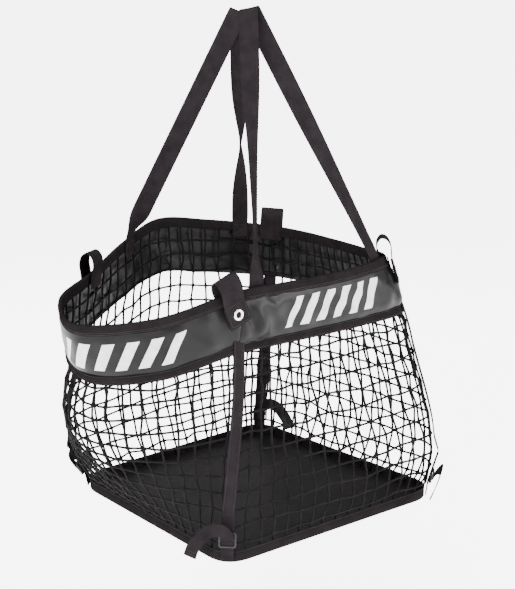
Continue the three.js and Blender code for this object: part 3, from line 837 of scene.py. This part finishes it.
def buckle(corner, name):
    where = seat(corner, BUCKLE_FOOT, BUCKLE_TOP)
    depth = 3.4 * MM
    middle = np.array([0, 7.8 * MM + depth / 2, -BUCKLE_HEIGHT / 2])
    path = rounded_rectangle(BUCKLE_WIDTH - 3.6 * MM, BUCKLE_HEIGHT - 3.8 * MM, 3.2 * MM)
    nxt, last = np.roll(path, -1, axis=0), np.roll(path, 1, axis=0)
    along = (nxt - last) / np.linalg.norm(nxt - last, axis=1, keepdims=True)
    outward = np.stack([along[:, 1], -along[:, 0]], -1)
    outline = rounded_rectangle(3.6 * MM, depth, 1.1 * MM, 3)
    rings = [
        [middle + np.array([p[0] + o[0] * a, b, p[1] + o[1] * a]) for a, b in outline] for p, o in zip(path, outward)
    ]
    ring = loft(f"buckle_frame_{name}", in_seat(where, rings), BUCKLE, closed=True)
    bar = [[middle + np.array([x, b * 0.95, a * 1.1]) for a, b in outline] for x in np.linspace(-13.6, 13.6, 7) * MM]
    middle_bar = loft(f"buckle_bar_{name}", in_seat(where, bar), BUCKLE)
    loop = MM * np.array([[0, 8.3, -3.5], [0, 9.6, -6.5], [0, 13.4, -10.5], [0, 14, -15], [0, 13.4, -19.5], [0, 9.6, -23.5], [0, 8.3, -26.5]])
    at = in_seat(where, curve(loop, 6))
    thread = ribbon(f"buckle_loop_{name}", at, np.tile(where[0][0], (len(at), 1)), STRAP_WIDTH - 1.5 * MM, 1.4 * MM, WEBBING)
    for piece, slot_name in ((ring, "buckle_metal"), (middle_bar, "buckle_metal"), (thread, "webbing")):
        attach(piece, f"buckle_{name}")
    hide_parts(f"buckle_{name}")


def strap_tail(corner, name):
    where = seat(corner, BUCKLE_FOOT, BUCKLE_TOP)
    route = curve(TAIL_ROUTE, 8)
    t = np.linspace(0, 1, len(route))
    turn = np.array([TAIL_TURN * smooth(0, 0.7, x) for x in t])
    sides = np.stack([np.cos(turn), 0 * turn, -np.sin(turn)], -1) @ where[0]
    at = in_seat(where, route)
    obj = ribbon(f"tail_web_{name}", at, sides, STRAP_WIDTH, 1.6 * MM, WEBBING, cup=0.02)
    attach(obj, f"buckle_{name}")
    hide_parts(f"strap_tail_{name}")
    facing, normal = frames(at, sides)
    rows = []
    for k in (-6, -3):
        line = np.linspace(-1, 1, 8)[:, None] * (STRAP_WIDTH / 2 - 3 * MM) * facing[k] + at[k]
        for face in (-1, 1):
            rows += stitch_row(line + normal[k] * face * 0.95 * MM, np.tile(normal[k] * face, (8, 1)))
    sewn(f"tail_stitches_{name}", rows, f"buckle_{name}")


# ---------- hanging tabs and eyelets ----------


def lathe(name, profile, where, centre, material, steps=56):
    """A body turned about the outward axis through centre. profile is a closed loop of [radius, out]."""
    rings = []
    for k in range(steps):
        a = 2 * math.pi * k / steps
        rings.append([np.array([centre[0] + r * math.cos(a), centre[1] + out, centre[2] + r * math.sin(a)]) for r, out in profile])
    return loft(name, in_seat(where, rings), material, closed=True)


def bored(obj, where, radius, reach, centre):
    """Cuts a round hole through a piece, along the outward direction."""
    turn = np.linspace(0, 2 * math.pi, 40, endpoint=False)
    ring = lambda y: [[centre[0] + radius * math.cos(a), centre[1] + y, centre[2] + radius * math.sin(a)] for a in turn]
    cutter = loft("cutter", in_seat(where, [ring(y) for y in (-reach, 0, reach)]), obj.data.materials[0])
    change = obj.modifiers.new("bore", "BOOLEAN")
    change.object = cutter
    change.solver = "EXACT"
    bpy.context.view_layer.update()
    evaluated = obj.evaluated_get(bpy.context.evaluated_depsgraph_get())
    made = bpy.data.meshes.new_from_object(evaluated)
    obj.modifiers.clear()
    obj.data = made
    bpy.data.objects.remove(cutter)


def hanging_tab(corner, name):
    rim = rim_height(corner)
    where = seat(corner, rim + TAB_END, rim, TAB_LEAN[corner])
    route = MM * np.array(
        [
            [-7.5, -32], [-7.5, -16], [-7.6, 0], [-9, 16], [-4, 31], [7, 38.5], [17, 32], [20.8, 16], [17.5, 0],
            [14.6, -13], [14.2, -30], [14.2, -48], [14, -60], [13, -62.6], [11.9, -60], [11.8, -48], [11.8, -30], [11.8, -17],
        ]
    )
    profile = curve(route, 5)
    at = in_seat(where, np.stack([0 * profile[:, 0], profile[:, 0], profile[:, 1]], -1))
    sides = np.tile(where[0][0], (len(at), 1))
    tab = ribbon(f"tab_web_{name}", at, sides, TAB_WIDTH, 2.0 * MM, WEBBING)
    bored(tab, where, EYELET_BORE + 1.0 * MM, 12 * MM, (0, TAB_OUT, EYELET_DROP))
    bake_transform(tab)
    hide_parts(f"hang_tab_{name}", f"tab_anchor_{name}")
    face = 15.35 * MM
    half, low, high = TAB_WIDTH / 2 - 4 * MM, TAB_END + 4 * MM, -18 * MM
    box = [[-half, low], [half, low], [half, high], [-half, high], [-half, low]]
    rows = []
    for a, b in zip(box, box[1:]):
        line = np.linspace([a[0], face, a[1]], [b[0], face, b[1]], 12)
        rows += stitch_row(in_seat(where, line), np.tile(where[0][1], (12, 1)))
    sewn(f"tab_stitches_{name}", rows, f"tab_{name}")
    eyelet(name, where)


def eyelet(name, where):
    centre = (0, TAB_OUT, EYELET_DROP)
    face = 2.35 * MM
    turn = np.linspace(0, math.pi, 9)
    half = (EYELET_FLANGE - EYELET_BORE) / 2
    mid = (EYELET_FLANGE + EYELET_BORE) / 2
    crown = [[mid + half * math.cos(a), face + 1.7 * MM * math.sin(a) ** 0.8] for a in turn]
    bore = [[EYELET_BORE, face - 2 * MM], [EYELET_BORE, -2.6 * MM], [EYELET_BORE + 0.7 * MM, -2.6 * MM], [EYELET_BORE + 0.8 * MM, face]]
    flange = lathe(f"eyelet_ring_{name}", [*crown, *bore], where, centre, NICKEL)
    back = -2.5 * MM
    washer = [[EYELET_BORE + 1.1 * MM, back], [EYELET_BORE + 1.1 * MM, back - 0.9 * MM], [EYELET_FLANGE - 0.4 * MM, back - 0.9 * MM],
              [EYELET_FLANGE, back - 0.5 * MM], [EYELET_FLANGE, back]]
    ring = lathe(f"washer_ring_{name}", washer, where, centre, NICKEL)
    for piece, node in ((flange, f"eyelet_{name}"), (ring, f"eyelet_washer_{name}")):
        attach(piece, f"tab_{name}")
        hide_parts(node)


# ---------- handles ----------

BAR_ALONG = unit(np.array([1.0, -1, 0]))
BAR_FRONT = unit(np.array([-1.0, -1, 0]))


def over_bar(middle, slope, radius, rise, start):
    """The turn of a handle over the hook's bar, from its front to its back: centres and width directions."""
    tilt = math.radians(slope)
    crease = BAR_ALONG * math.cos(tilt) + UP * math.sin(tilt)
    upright = np.cross(BAR_FRONT, crease)
    centre = BAR_ALONG * middle + UP * (rise - HOOK_RADIUS)
    at, across = [], []
    for angle in np.linspace(math.radians(start), math.pi, 25):
        radial = BAR_FRONT * math.cos(angle) + upright * math.sin(angle)
        turning = -BAR_FRONT * math.sin(angle) + upright * math.cos(angle)
        lead = radius * (angle - math.pi / 2) * math.tan(FOLD_SLANT)
        at.append(centre + radial * radius + crease * lead)
        across.append(crease * math.cos(FOLD_SLANT) - turning * math.sin(FOLD_SLANT))
    return at, across


def rim_slope(u):
    return unit(rim_at(u + 0.02) - rim_at(u - 0.02))


def leg(fold_at, fold_across, end, drop, turns, settle, steps=70):
    """One leg from the fold down to just over the mouth, its width turning on the way."""
    start = fold_at - UP * drop
    finish = wall_out(end, rim_height(end), HANDLE_OUT) + UP * HANDLE_FOOT
    along = unit(finish - start)
    flat = lambda v: unit(v - along * np.dot(v, along))
    a, b = flat(fold_across), flat(rim_slope(end))
    if np.dot(a, b) < 0:
        b = -b
    between = math.atan2(np.dot(np.cross(a, b), along), np.dot(a, b))
    rest = math.remainder(between - sum(math.radians(degrees) for degrees, _, _ in turns), math.pi)
    at = [fold_at - UP * drop * k / 6 for k in range(1, 6)] if drop else []
    across = [a] * len(at)
    for i in range(0 if drop else 1, steps + 1):
        t = i / steps
        turn = rest * smooth(*settle, t)
        turn += sum(math.radians(degrees) * smooth(low, high, t) for degrees, low, high in turns)
        at.append(start + (finish - start) * t)
        across.append(np.array(Matrix.Rotation(turn, 3, Vector(along)) @ Vector(a)))
    return at, across


def sewn_end(u):
    """The part of a handle inside the mouth, from the leg's foot down: centres and width directions."""
    ups = [6 * MM, 3 * MM, 0, *np.linspace(-4 * MM, -HANDLE_END, 7)]
    at = [wall_out(u, rim_height(u) + min(up, 0), HANDLE_OUT) + UP * max(up, 0) for up in ups]
    return at, [rim_slope(u)] * len(at)


def wall_bend(u, xs):
    """How far the wall turns away from flat webbing sewn at u, at each distance along its width."""
    speed = np.linalg.norm(rim_at(u + 0.02) - rim_at(u - 0.02)) / 0.04
    flat = wall_out(u, rim_height(u), HANDLE_OUT)
    slope = rim_slope(u)
    bend = []
    for x in xs:
        here = u + x / speed
        bend.append(wall_out(here, rim_height(here), HANDLE_OUT) - flat - slope * x)
    return np.array(bend)


def eased(values, passes, keep):
    """Rounds the kinks of a list of vectors, leaving the first and last few as they are."""
    values = np.array(values)
    for _ in range(passes):
        inner = (values[:-2] + 2 * values[1:-1] + values[2:]) / 4
        values[keep:-keep] = inner[keep - 1 : len(inner) - keep + 1]
    return values


def handle(name, fold, left, right):
    fold_at, fold_across = over_bar(**fold)
    rising = leg(fold_at[0], fold_across[0], **left)
    falling = leg(fold_at[-1], fold_across[-1], **right)
    ends = [sewn_end(left["end"]), sewn_end(right["end"])]
    at = [*ends[0][0][::-1], *rising[0][::-1], *fold_at, *falling[0], *ends[1][0]]
    across = [*ends[0][1][::-1], *rising[1][::-1], *fold_across, *falling[1], *ends[1][1]]
    for i in range(1, len(across)):
        if np.dot(across[i], across[i - 1]) < 0:
            across[i] = -across[i]
    at, across = eased(at, 3, 7), eased(across, 4, 7)
    side, face = frames(at, across)
    outline = section(HANDLE_WIDTH, 2.0 * MM)
    rings = at[:, None] + side[:, None] * outline[None, :, :1] + face[:, None] * outline[None, :, 1:]
    count = len(ends[0][0])
    for leg_end, order in ((left["end"], range(len(at))), (right["end"], range(len(at) - 1, -1, -1))):
        for k, i in enumerate(order):
            weight = 1 - smooth(count, count + 14, k)
            if weight == 0:
                break
            facing = np.sign(np.dot(side[i], rim_slope(leg_end)))
            rings[i] += weight * wall_bend(leg_end, outline[:, 0] * facing)
    obj = loft(f"{name}_handle_web", rings, WEBBING)
    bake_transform(obj)
    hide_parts(f"{name}_handle", f"{name}_handle_end_left", f"{name}_handle_end_right")
    sewn(f"{name}_handle_stitches", box_stitch(left["end"]) + box_stitch(right["end"]))


def box_stitch(u):
    """A sewn box with a cross, on the inner face of a handle's end."""
    speed = np.linalg.norm(rim_at(u + 0.02) - rim_at(u - 0.02)) / 0.04
    half = HANDLE_WIDTH / 2 - 4 * MM
    low, high = -HANDLE_END + 4 * MM, -5 * MM
    corners = [(-half, low), (half, low), (half, high), (-half, high)]
    lines = [*zip(corners, corners[1:] + corners[:1]), (corners[0], corners[2]), (corners[1], corners[3])]
    rows = []
    for a, b in lines:
        path, outs = [], []
        for w in np.linspace(0, 1, 12):
            here = u + (a[0] + (b[0] - a[0]) * w) / speed
            height = rim_height(here) + a[1] + (b[1] - a[1]) * w
            path.append(wall_out(here, height, HANDLE_OUT - 1.15 * MM))
            outs.append(-wall_normal(here, height))
        rows += stitch_row(path, outs)
    return rows


# ---------- building ----------

for i, side_name in enumerate(SIDES):
    net_side(i, side_name)
    band_side(i, side_name)
rim_tape()
hem_tape()
base()
base_tape()
for i, corner_name in enumerate(CORNERS):
    corner_strap(i, corner_name)
    buckle(i, corner_name)
    strap_tail(i, corner_name)
    hanging_tab(i, corner_name)
for handle_name, facts in HANDLES.items():
    handle(handle_name, **facts)

# ---------- floor and light ----------

FLOOR_DROP = 0.45


def floor():
    reach = 90
    low = -HANG_DROP - FLOOR_DROP
    verts = [[-reach, -reach, low], [reach, -reach, low], [reach, reach, low], [-reach, reach, low]]
    new_object("studio_floor", verts, [[0, 1, 2, 3]], [v[:2] for v in verts], studio_floor())


def light(name, kind, place, size, power):
    data = bpy.data.lights.new(name, kind)
    if kind == "AREA":
        data.shape = "DISK"
        data.size = size
    else:
        data.angle = math.radians(size)
    data.energy = power
    obj = bpy.data.objects.new(name, data)
    obj.location = place
    obj.rotation_euler = (Vector(place) - Vector((0, 0, -0.6))).to_track_quat("Z", "Y").to_euler()
    bpy.context.scene.collection.objects.link(obj)


def studio():
    world = bpy.data.worlds.new("studio")
    world.use_nodes = True
    world.node_tree.nodes["Background"].inputs["Color"].default_value = (1, 1, 1, 1)
    world.node_tree.nodes["Background"].inputs["Strength"].default_value = 0.55
    bpy.context.scene.world = world
    light("overhead", "SUN", (-0.6, -0.5, 6), 50, 6.5)
    light("key_light", "AREA", (-3.4, -1.6, 1.4), 1.8, 300)
    light("side_light", "AREA", (2.6, -3.0, 0.4), 1.4, 200)
    light("back_light", "AREA", (1.8, 3.2, 1.0), 1.6, 90)


floor()
studio()
